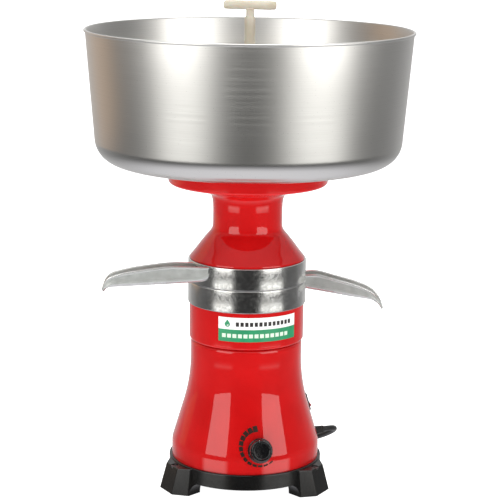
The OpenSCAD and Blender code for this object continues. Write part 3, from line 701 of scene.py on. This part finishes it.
def tail_place(t):
    """t along the lead past the coil's leaving point, with local +X towards the plug."""
    leave = Matrix.Translation((*coil_circle(leave_az, coil_radii[0]), plug_z))
    return leave @ out_at(leave_heading, t)


def lead_points():
    """The lead's centre line, in millimetres."""
    points = [tuple(out_at(lead_az, skirt_r + 2, lead_z).translation)] + cord_route
    points += [coil_point(angle) for angle in range(0, coil_angle + 1, 12)]
    points += [tuple(tail_place(t).translation) for t in (6, 13, 21, tail_end)]
    return points


def make_lead(looks):
    points = lead_points()
    data = bpy.data.curves.new("power_lead", "CURVE")
    data.dimensions = "3D"
    data.bevel_depth = cord_r * MM
    data.bevel_resolution = 6
    data.resolution_u = 4
    data.use_fill_caps = True
    spline = data.splines.new("BEZIER")
    spline.bezier_points.add(len(points) - 1)
    for knot, p in zip(spline.bezier_points, points):
        knot.co = Vector(p) * MM
        knot.handle_left_type = knot.handle_right_type = "AUTO"
    lead = added("power_lead", data)
    dress(lead, looks, "cord_pvc", "power_cord", "cord_coil", "cord_tail")
    fitted = [make_relief(looks), make_tie(looks), make_plug(looks), make_pins(looks)]


def make_relief(looks):
    """A tapered sleeve with slots between its ribs, clamped in the skirt by a flange."""
    outline = [(cord_r + 0.05, -5.4), (6.2, -5.4), (6.2, -3.4), (4.9, -3.3), (4.9, 0.1),
               (5.9, 0.3), (5.9, 2.2), (5.2, 3)]
    ribs = 7
    pitch = (relief_len - 4.5) / ribs
    for i in range(ribs):
        x = 3.2 + pitch * i
        r = 5.2 - 1.1 * i / ribs
        outline += [(r - 0.75, x), (r - 0.75, x + 0.8), (r, x + 1.1), (r - 0.12, x + pitch - 0.2)]
    outline += [(4.0, relief_len - 1), (3.8, relief_len - 0.2), (3.5, relief_len),
                (cord_r + 0.05, relief_len)]
    relief = revolve("cord_relief", outline, 64, out_at(lead_az, skirt_r, lead_z) @ TO_X)
    return dress(relief, looks, "rubber_black", "strain_relief")


def make_tie(looks):
    """A strap once round the coil's section."""
    half_w, half_h = 1.5 * 2 * cord_r + 0.5, 2 * cord_r + 0.1
    outer = rounded_box(half_w + 0.5, half_h + 0.4, 2.6)
    inner = rounded_box(half_w - 0.3, half_h - 0.2, 2.2)
    place = Matrix.Translation((*coil_centre, 0)) @ out_at(205, coil_radii[1], 2 * cord_r + 0.5)
    rings = [[place @ Vector((x, y, z)) for x, z in outline]
             for outline, y in ((outer, -3), (outer, 3), (inner, 3), (inner, -3))]
    tie = mesh_piece("coil_strap", *bridge(rings, True))
    return dress(soften(tie, 0.25, 2), looks, "cord_pvc", "coil_tie")


def make_plug(looks):
    """A two-pin plug: an oval body that tapers to its own ribbed relief."""
    stations = [(0, 8.4, 7.6), (6, 11.4, 8.2), (14, 15.2, 8.5), (22, 17.4, 8.5), (32, 17.7, 8.5),
                (36.6, 17.5, 8.4), (37.7, 16.8, 7.8), (38, 15.6, 6.8)]
    rings = []
    for x, half_w, half_h in eased(stations, 3):
        place = tail_place(plug_start + x)
        ring = []
        for k in range(48):
            a = 2 * pi * k / 48
            corner = 0.62  # between a box and an ellipse
            y = half_w * copysign(abs(cos(a)) ** corner, cos(a))
            z = half_h * copysign(abs(sin(a)) ** corner, sin(a))
            ring.append(place @ Vector((0, y, z)))
        rings.append(ring)
    body = loft("plug_shell", rings)
    outline = [(0, -1), (6.6, -1), (6.6, 1)]
    for i in range(6):
        x, r = 2 + 3.6 * i, 6.2 - 0.32 * i
        outline += [(r - 0.8, x - 1), (r - 0.8, x), (r, x + 0.3), (r - 0.1, x + 2.4)]
    outline += [(4.2, 24), (3.6, 24.6), (0, 24.6)]
    sleeve_place = tail_place(plug_start + 0.6) @ Matrix.Rotation(-pi / 2, 4, "Y")
    sleeve = revolve("plug_sleeve", outline, 48, sleeve_place)
    body = joined("plug_moulding", [body, sleeve])
    return dress(body, looks, "cord_pvc", "plug_body")


def make_pins(looks):
    """Two round pins with slightly thicker roots and rounded tips."""
    outline = [(0, 0), (2.4, 0), (2.4, 8.6), (2.3, 9)] + arc(0.9, 18, 1.4, 0, 90, 6)
    outline += [(0, 19.4)]
    pins = []
    for side in (-1, 1):
        place = tail_place(plug_start + 37.5) @ Matrix.Translation((0, side * 9.5, 0)) @ TO_X
        pins.append(revolve("pin", outline, 40, place))
    return dress(joined("plug_contacts", pins), looks, "pin_metal", "plug_pins")


# ---- base

arch_z = 14.4
foot_edge_z = 29.5
foot_inner_r = 74
heel, toe = Vector((89, 27.8)), Vector((foot_reach, 14.4))
side_end = Vector((76, 34.8))  # the foot's side runs from its heel into the ring


def foot_level(points):
    """A closed ring round a foot that points along +X, from (x, y, z) points of its +Y side."""
    return [(x, y, z) for x, y, z in points] + [(x, -y, z) for x, y, z in points[::-1]]


def arch_cutter(azimuth, side):
    """The end of the arch between two feet: a quarter of an ellipse beside this foot."""
    run, steps = 9.3, 12
    back = (side_end - heel).normalized()
    height = arch_z - foot_bottom_z
    section = [(-0.02, foot_bottom_z - 2)]
    section += [(run * (1 - cos(radians(90 * i / steps))),
                 foot_bottom_z + height * sin(radians(90 * i / steps))) for i in range(steps + 1)]
    section += [(30, arch_z), (30, foot_bottom_z - 2)]
    rings = []
    for reach in (1.25, 0.5):
        ring = []
        for s, z in section:
            p = (heel + back * s) * reach
            ring.append(turned_by(azimuth) @ Vector((p.x, side * p.y, z)))
        rings.append(ring)
    return loft("arch", rings)


def make_foot(azimuth):
    """A foot with drafted sides and a top that falls away from the ring."""
    z = foot_bottom_z
    levels = [
        foot_level([(70, 37, z)] + [(*corner, z) for corner in (side_end, heel, toe)]),
        foot_level([(70, 33, 31.7), (75, 32, 31.7), (heel.x - 4.6, heel.y - 3.2, 30.9),
                    (toe.x - 8, toe.y - 1.2, foot_edge_z)])]
    rings = [[turned_by(azimuth) @ Vector(p) for p in level] for level in levels]
    foot = soften(loft("foot", rings), 0.8, 3, 12)
    core = revolve("core", [(0, -1), (foot_inner_r, -1), (foot_inner_r, 40), (0, 40)], 96)
    arches = [arch_cutter(azimuth, side) for side in (-1, 1)]
    return combine(foot, [core] + arches, "DIFFERENCE")


def make_base(looks):
    base = revolve("tripod_base", filleted([
        (70, arch_z, 0.5), (87, arch_z, 1.2), (87, base_top_z, 1.4), (80.6, base_top_z, 0),
        (80.6, base_top_z + 4, 0.4), (77, base_top_z + 4, 0.4), (77, base_top_z, 0),
        (foot_inner_r, base_top_z, 0), (foot_inner_r, 17, 0), (70, 17, 0)], steps=3), 300)
    combine(base, [make_foot(a) for a in foot_angles], "UNION")
    wells = []
    for a in foot_angles:
        wells.append(revolve("well", [
            (0, -1), (2.1, -1), (2.1, foot_screw_z), (4.2, foot_screw_z), (4.2, 35), (0, 35)],
            48, out_at(a, foot_screw_r)))
        wells.append(revolve("recess", [
            (0, -1), (pad_r + 0.3, -1), (pad_r + 0.3, pad_top_z), (0, pad_top_z)],
            64, out_at(a, pad_centre_r)))
    combine(base, wells, "DIFFERENCE", 14)
    weighted = base.modifiers.new("even", "WEIGHTED_NORMAL")
    weighted.keep_sharp = True
    weighted.weight = 100
    settle(base)
    dress(base, looks, "black_base", "base_ring")


def make_pads(looks):
    """Rubber pads with grooves round their treads, one under each foot."""
    outline = filleted([
        (0, 0.6, 0), (4, 0.6, 0.2), (4.6, 0, 0.3), (6.4, 0, 0.3), (7, 0.7, 0.2), (8, 0.7, 0.2),
        (8.6, 0, 0.3), (pad_r - 0.5, 0, 0.5), (pad_r, pad_top_z, 0.3), (0, pad_top_z, 0)],
        closed=False, steps=3)
    pads = [revolve("pad", outline, 64, out_at(a, pad_centre_r))
            for a in foot_angles]
    dress(joined("rubber_pads", pads), looks, "rubber_black", "foot_pads")


# ---- housing and chamber

shell_wall = 3


def make_housing(looks):
    inner = skirt_side(shell_wall)
    shoulder_r = 4.5
    outline = (
        skirt_side(0) + arc(waist_r - shoulder_r, joint_z - shoulder_r, shoulder_r, 0, 90, 10)
        + [(30, joint_z), (30, joint_z - shell_wall), (waist_r - 8, joint_z - shell_wall),
           (waist_r - shell_wall, joint_z - 8)]
        + inner[::-1]
    )
    housing = revolve("motor_skirt", outline, 256)
    dress(housing, looks, "red_shell", "motor_housing")


def make_chamber(looks):
    inside_r = chamber_r - chamber_wall
    floor_z = joint_z + 3
    edge_r = 3.4
    outline = (
        [(8, joint_z), (chamber_r - edge_r, joint_z)]
        + arc(chamber_r - edge_r, joint_z + edge_r, edge_r, -84, 0, 8)
        + filleted([(chamber_r, joint_z + 4, 0), (chamber_r, chamber_top_z, 0.5),
                    (inside_r, chamber_top_z, 0.3), (inside_r, floor_z + 2, 3),
                    (11, floor_z, 1.5), (11, 180, 0.4), (8, 180, 0.4)], closed=False)
    )
    chamber = revolve("drum_casing", outline, 256)
    dress(chamber, looks, "red_shell", "drum_chamber")


def make_float_chamber(looks):
    spigot_r = ring_r - ring_wall - ring_gap
    edge_z = cream_top_z + ring_gap
    neck, lip_r = 39, 3.6
    outside = (
        [(spigot_r - 2, 258.5), (spigot_r, 258.5), (spigot_r, edge_z)]
        + filleted([(spigot_r, edge_z, 0), (64.9, edge_z, 0.5), (64.6, edge_z + 1.6, 0.8),
                    (61, edge_z + 6, 0)], closed=False)
        + eased([(57.6, 272.2), (51, 281), (45.2, 288.2), (41.8, 292.2), (neck + 0.7, 296),
                 (neck, 301)], 5)
        + eased([(neck, 318), (neck + 0.8, 328), (neck + 3.2, 334), (neck + 8, 337.4)], 5)
        + [(82, 346.4)] + arc(dish_r - lip_r, 350.4, lip_r, -72, 0, 7)
    )
    inside = filleted([
        (dish_r, bowl_base_z, 0.8), (dish_r - 2.8, bowl_base_z, 0.8), (dish_r - 2.8, 353, 3),
        (44, 341, 4), (5.2, 341, 0.4), (5.2, 336.6, 0.4), (35, 336.6, 1), (36.4, 333, 1),
        (36.4, 297, 4), (61, 262, 1)], closed=False)
    chamber = revolve("float_housing", outside + inside, 256)
    dress(chamber, looks, "red_shell", "float_chamber")


def make_bowl(looks):
    flat_r, corner_r, wall, lean, bead = 143, 28, 1.8, 5.4, 1.6
    corner_z = bowl_base_z + corner_r
    rim = (bowl_rim_r - bead, bowl_rim_z - bead)
    outline = (
        [(9.2, bowl_base_z), (60, bowl_base_z), (110, bowl_base_z)]
        + arc(flat_r, corner_z, corner_r, -90, -lean, 18)
        + arc(*rim, bead, -90 - lean, 180 - lean, 14)
        + [(rim[0] - wall, rim[1] - 0.4)]
        + arc(flat_r, corner_z, corner_r - wall, -lean, -90, 18)
        + [(110, bowl_base_z + wall), (60, bowl_base_z + wall), (9.2, bowl_base_z + wall)]
    )
    bowl = revolve("spun_bowl", outline, 320)
    dress(bowl, looks, "spun_alloy", "milk_bowl")


def make_valve(looks):
    """The T handle on the stem of the plug valve: a long round bar on a slimmer neck."""
    bar_r, bar_len, stem_r, handle_turn = 5, 58, 6, -8
    bar_z = handle_top_z - bar_r
    stem = revolve("valve_handle", filleted([
        (0, 375, 0), (stem_r, 375, 0.4), (stem_r, 529.5, 1.2), (4.4, 532, 1.5),
        (4.3, bar_z - 5.5, 2), (5.4, bar_z - 3.6, 0.6), (0, bar_z, 0)], closed=False), 64,
        turned_by(handle_turn))
    half = bar_len / 2
    outline = [(0, -half)] + filleted([
        (0, -half, 0), (bar_r - 0.4, -half, 3.2), (bar_r, -half + 9, 3),
        (bar_r - 0.25, 0, 30), (bar_r, half - 9, 3), (bar_r - 0.4, half, 3.2), (0, half, 0)],
        closed=False, steps=6)
    bar = revolve("bar", outline, 64, out_at(handle_turn, 0, bar_z) @ TO_X)
    combine(stem, [bar], "UNION", 40)
    bore = revolve("bore", [(0, 370), (3, 370), (3, 381), (0, 381)], 32)
    port = revolve("port", [(0, -15), (2.5, -15), (2.5, 15), (0, 15)], 32,
                   Matrix.Translation((0, 0, 381)) @ Matrix.Rotation(pi / 2, 4, "X"))
    combine(stem, [bore, port], "DIFFERENCE", 40)
    dress(stem, looks, "cream_plastic", "milk_valve", body="valve")


# ---- receivers and their spouts

def channel_section(half_w, height):
    """A spout's section as (y, z): rolled lips, hollow side panels and a round keel."""
    s = min(1, height / 15)
    lip, keel, side, floor = 1.5, 5.5, 2.5, 2.0 * s
    inner_r = 3.5
    right = [(0, floor), (half_w - side - inner_r, floor)]
    right += [(half_w - side - inner_r + inner_r * sin(radians(a)),
               floor + inner_r * s * (1 - cos(radians(a)))) for a in (22, 45, 67, 90)]
    right += [(half_w - side, height - 3.4 * s)]
    right += [(half_w - lip + lip * cos(radians(a)), height - lip * s + lip * s * sin(radians(a)))
              for a in range(200, -31, -23)]
    right += [(half_w - 0.7, height - 3.0 * s), (half_w - 0.8, height - 3.6 * s),
              (half_w - 0.8, 0.5 * height), (half_w - 0.75, 1.25 * keel * s)]
    right += [(half_w - keel + keel * cos(radians(a)), keel * s * (1 + sin(radians(a))))
              for a in (12, 4, -8, -20, -35, -50, -65, -80, -90)]
    right += [(half_w * 0.3, -0.15 * s)]
    left = [(-y, z) for y, z in right[::-1]]
    return right + left[:-1]


def make_spout(name, stations, side_y, mirror):
    """A spout through stations (top x, top z, bottom x, bottom z, half width)."""
    rings = []
    for top_x, top_z, bottom_x, bottom_z, half_w in eased(stations, 6):
        up = Vector((top_x - bottom_x, 0, top_z - bottom_z))
        height = up.length
        up.normalize()
        foot = Vector((bottom_x, side_y, bottom_z))
        ring = [foot + up * z + Vector((0, y, 0)) for y, z in channel_section(half_w, height)]
        rings.append([Vector((mirror * p.x, p.y, p.z)) for p in ring])
    return loft(name, rings, 40)


def receiver_outline(z0, z1, spigot_r, floor_z, hub_r, hub_rise):
    """A receiver ring with a sloping floor, a hub and a register below."""
    inside_r = ring_r - ring_wall
    return filleted([
        (spigot_r - 2, z0 - 4.5, 0.2), (spigot_r, z0 - 4.5, 0.3), (spigot_r, z0, 0),
        (ring_r, z0, 1.0), (ring_r, z1, 1.2), (inside_r, z1, 0.6), (inside_r, floor_z, 1.5),
        (hub_r, floor_z + hub_rise, 1), (hub_r, floor_z + hub_rise + 2, 0.4),
        (hub_r - 2, floor_z + hub_rise + 2, 0.4), (hub_r - 2, floor_z + hub_rise - 2, 0.4),
        (spigot_r - 2, floor_z - 2.4, 0.5)], steps=5)


def window(x0, x1, z_low0, z_low1, z_top, side_y, half_w, mirror):
    """The hole through a ring's wall where its spout starts."""
    rings = []
    for x, z_low in ((x0, z_low0), (x1, z_low1)):
        rings.append([Vector((mirror * x, side_y + s * half_w, z))
                      for s, z in ((-1, z_low), (1, z_low), (1, z_top), (-1, z_top))])
    return loft("window", rings)


cream_stations = [
    (30, 260.4, 38, 253, 13), (45, 260.5, 41.5, 246.6, 13), (61, 260.6, 50, 242.8, 13),
    (83, 260.6, 72, 241, 13), (99, 259, 95, 239.3, 13), (128, 254.5, 128, 237.1, 13),
    (146, 250, 145, 236, 13), (153.5, 246.4, 150.6, 235.3, 12.6),
    (157.8, 241.4, 154, 234.2, 11.8), (159.8, 236, 156.4, 232.2, 10.8),
    (160, 232, 157.6, 230.5, 10)]
skim_stations = [
    (38, 233, 44, 229.5, 13), (50, 234.6, 49, 225, 13), (62, 236, 60, 221.6, 13),
    (74, 237.4, 72, 219.2, 13), (84, 236.9, 86, 216.9, 13), (97, 233.5, 100, 214.5, 13),
    (126, 225.5, 124, 210.5, 13), (143, 218, 141, 208, 13), (150, 211.8, 147, 205.6, 12.4),
    (154.6, 205, 151.6, 201.6, 11.4), (157, 198.5, 155, 196.5, 10)]

def make_receiver(name, outline, stations, side_y, mirror, opening):
    ring = revolve(name, outline, 256)
    spout = make_spout("spout", stations, side_y, mirror)
    core_r, core = ring_r - 1, low("skim_receiver").z - 20
    hollow = revolve("hollow", [(0, core), (core_r, core), (core_r, core + 120), (0, core + 120)],
                     128)
    combine(spout, [hollow], "DIFFERENCE", 40)
    combine(ring, [spout], "UNION", 36)
    combine(ring, [window(*opening, side_y, 10.4, mirror)], "DIFFERENCE", 36)
    return ring


def leave_spout_satin(receiver, looks):
    """Rings and lips are polished, and the spouts' sides keep the paler skin of the casting."""
    receiver.data.materials.append(looks["satin_alloy"].material)
    for face in receiver.data.polygons:
        outside = hypot(face.center.x, face.center.y) > (ring_r + 0.3) * MM
        if outside and abs(face.normal.y) > 0.9:
            face.material_index = 1


def make_receivers(looks):
    skim_ring = (skim_z, seam_z, chamber_r - chamber_wall - ring_gap, 221, 31, 5.5)
    cream_ring = (seam_z + ring_gap, cream_top_z, ring_r - ring_wall - ring_gap, 242.4, 24, 4.6)
    rows = (
        ("skim", skim_ring, skim_stations, 33, 1, (40, 72, 227.4, 221.6, 233.2)),
        ("cream", cream_ring, cream_stations, -39, -1, (34, 70, 247, 243.6, 258.2)))
    for milk, ring, stations, side_y, mirror, opening in rows:
        receiver = make_receiver(milk + "_ring_casting", receiver_outline(*ring), stations,
                                 side_y, mirror, opening)
        dress(receiver, looks, "cast_alloy", milk + "_receiver", body=milk + "_ring")
        leave_spout_satin(receiver, looks)


# ---- label, dial, knob and switch

label_r = chamber_r + 0.02
label_az0, label_az1 = -118.3, -35
label_z0, label_z1, label_mid_z = 179, 206.5, 193
label_t = 0.24


def wrapped(name, start, end, z0, z1, r, thickness):
    """A thin panel that follows the chamber's wall from azimuth start to end."""
    steps = max(2, round((end - start) / 1.5))
    rings = []
    for i in range(steps + 1):
        place = turned_by(start + (end - start) * i / steps)
        rings.append([place @ Vector(p) for p in (
            (r, 0, z0), (r + thickness, 0, z0), (r + thickness, 0, z1), (r, 0, z1))])
    return loft(name, rings)


def make_label(looks):
    """A foil label: a white band over a green one, with plain dashes in place of print."""
    span = (label_az0, label_az1)
    white = wrapped("label_white_band", *span, label_mid_z, label_z1, label_r, label_t)
    dress(white, looks, "label_print", "label_band")
    green = wrapped("label_green_band", *span, label_z0, label_mid_z, label_r, label_t)
    dress(green, looks, "label_print", look="green")
    face = label_r + label_t
    rows = (
        ("label_dark_dashes", "ink", 196.6, 201.4, label_az0 + 18, label_az1 - 5, 4.6, 3.2),
        ("label_pale_dashes", "pale_ink", 183.6, 188.0, label_az0 + 4, label_az1 - 5, 5.4, 3.9))
    for name, ink, z0, z1, start, stop, pitch, length in rows:
        dashes = []
        for i in range(int((stop - start) / pitch)):
            a = start + pitch * i
            dashes.append(wrapped("dash", a, a + length, z0, z1, face, 0.04))
        dress(joined(name, dashes), looks, "label_print", look=ink)
    dress(emblem(face), looks, "label_print", look="green")


def emblem(face):
    """A plain milk drop at the left of the white band."""
    centre_az, centre_z = label_az0 + 9.5, 199
    rim = []
    for a in range(0, 360, 15):
        x, z = cos(radians(a)), sin(radians(a))
        tip = max(0, z)
        rim.append((3.1 * x * (1 - 0.55 * tip ** 2), 3.4 * z + 1.3 * tip ** 3))
    rings = [[out_at(centre_az + degrees(x / face), face + depth, centre_z + z).translation
              for x, z in rim] for depth in (0, 0.04)]
    return loft("label_drop", rings)


def patch(name, place, corners, lift, thickness):
    """A thin block on the skirt whose plan is a quad in the local plane of place."""
    near_start, far_start, far_end, near_end = [Vector((*corner, 0)) for corner in corners]
    steps = 4
    rings = []
    for i in range(steps + 1):
        near, far = near_start.lerp(near_end, i / steps), far_start.lerp(far_end, i / steps)
        ring = []
        for t, height in ((0, lift), (0, lift + thickness), (0.5, lift + thickness),
                          (1, lift + thickness), (1, lift), (0.5, lift)):
            p = place @ near.lerp(far, t)
            r = skirt_radius(p.z) + height
            around = hypot(p.x, p.y)
            ring.append(Vector((p.x * r / around, p.y * r / around, p.z)))
        rings.append(ring)
    return loft(name, rings)


def make_dial(looks):
    """Blocks in an arc round the knob that grow towards full speed."""
    outer_r, half_w, count = 23.5, 2.55, 13
    place = on_skirt(knob_az, dial_z)
    blocks = []
    for i in range(count):
        size = 1.6 + 5.2 * i / (count - 1)
        corners = [(outer_r - size, -half_w), (outer_r, -half_w), (outer_r, half_w),
                   (outer_r - size, half_w)]
        blocks.append(patch("block", place @ turned_by(35 - 17 * i), corners, 0.02, 0.22))
    dress(joined("dial_blocks", blocks), looks, "dial_print", "dial_marks")


def make_knob(looks):
    place = on_skirt(knob_az, knob_z)
    outline = filleted([
        (3, 3.2, 0), (7, 3.2, 0.3), (7, 1.6, 0.3), (14, 1.6, 0.4), (14, 3.8, 0.8),
        (12.8, 5, 0.8), (12.3, 11.4, 0.6), (10.9, 13, 0.9), (9.3, 13, 0.3), (8.7, 12.4, 0.5),
        (0, 12.2, 0)], closed=False, steps=5)
    outline += [(0, 8.5), (3, 8.5)]
    knob = revolve("knob_cap", outline, 96, place, sharp=28)
    pointed = place @ turned_by(190)
    pointer = prism("pointer", [(8.9, -0.5), (12.6, -0.5), (12.6, 0.5), (8.9, 0.5)], 10.5, 14,
                    pointed)
    combine(knob, [pointer], "DIFFERENCE", 28)
    dress(knob, looks, "knob_plastic", "speed_knob", body="knob")
    line = prism("knob_pointer_line", [(9.1, -0.4), (12.1, -0.4), (12.1, 0.4), (9.1, 0.4)],
                 10.2, 10.9, pointed)
    dress(line, looks, "knob_plastic", body="knob", look="label_print")


def make_switch(looks):
    """A snap-in rocker switch: a bevelled bezel and a rocker with a hollow top."""
    place = on_skirt(switch_az, switch_z)
    levels = [(9.4, 6.4, -17, 1), (9.4, 6.4, -0.5, 1), (11, 7.8, -0.4, 1.6), (11, 7.8, 0.7, 1.6),
              (10.6, 7.4, 1.3, 1.4), (10.1, 6.9, 1.5, 1.2), (8.9, 5.7, 1.4, 0.5),
              (8.6, 5.4, 1.0, 0.3), (8.6, 5.4, -9, 0.3)]
    rings = [[place @ Vector((x, y, z)) for x, y in rounded_box(half_l, half_w, r, 4)]
             for half_l, half_w, z, r in levels]
    bezel = loft("switch_bezel", rings)
    dress(bezel, looks, "knob_plastic", "switch_frame")
    pivot = place @ Matrix.Translation((0, 0, -1.5)) @ Matrix.Rotation(radians(-8), 4, "Y")
    outline = (
        arc(0, 0, 8.3, 210, 330, 12) + arc(0, 0, 8.3, 332, 388, 6)
        + [(7.0, 4.5), (4.6, 3.95), (2.3, 3.55), (0, 3.4), (-2.3, 3.55), (-4.6, 3.95), (-7.0, 4.5)]
        + arc(0, 0, 8.3, 152, 208, 6))
    rings = [[pivot @ Vector((x, y, z)) for x, z in outline] for y in (-5.1, 5.1)]
    rocker = soften(loft("rocker_button", rings), 0.35, 2, 40)
    dress(rocker, looks, "rocker_plastic", "power_rocker", body="rocker")


# ---- CAD nodes that stay

def finish_cad_nodes(looks):
    """Every CAD node takes the finish of its slot in the record."""
    for part in frame["record"]["subparts"]:
        node = frame["nodes"][part["node"]]
        node.data.materials.clear()
        node.data.materials.append(looks[part["material_slot"]].material)
        smooth(node, 30)


def main():
    make_studio()
    looks = make_finishes()
    make_lead(looks)
    finish_cad_nodes(looks)
    for make in (make_base, make_pads, make_housing, make_chamber, make_float_chamber, make_bowl,
                 make_valve, make_receivers, make_label, make_dial, make_knob, make_switch):
        make(looks)


main()
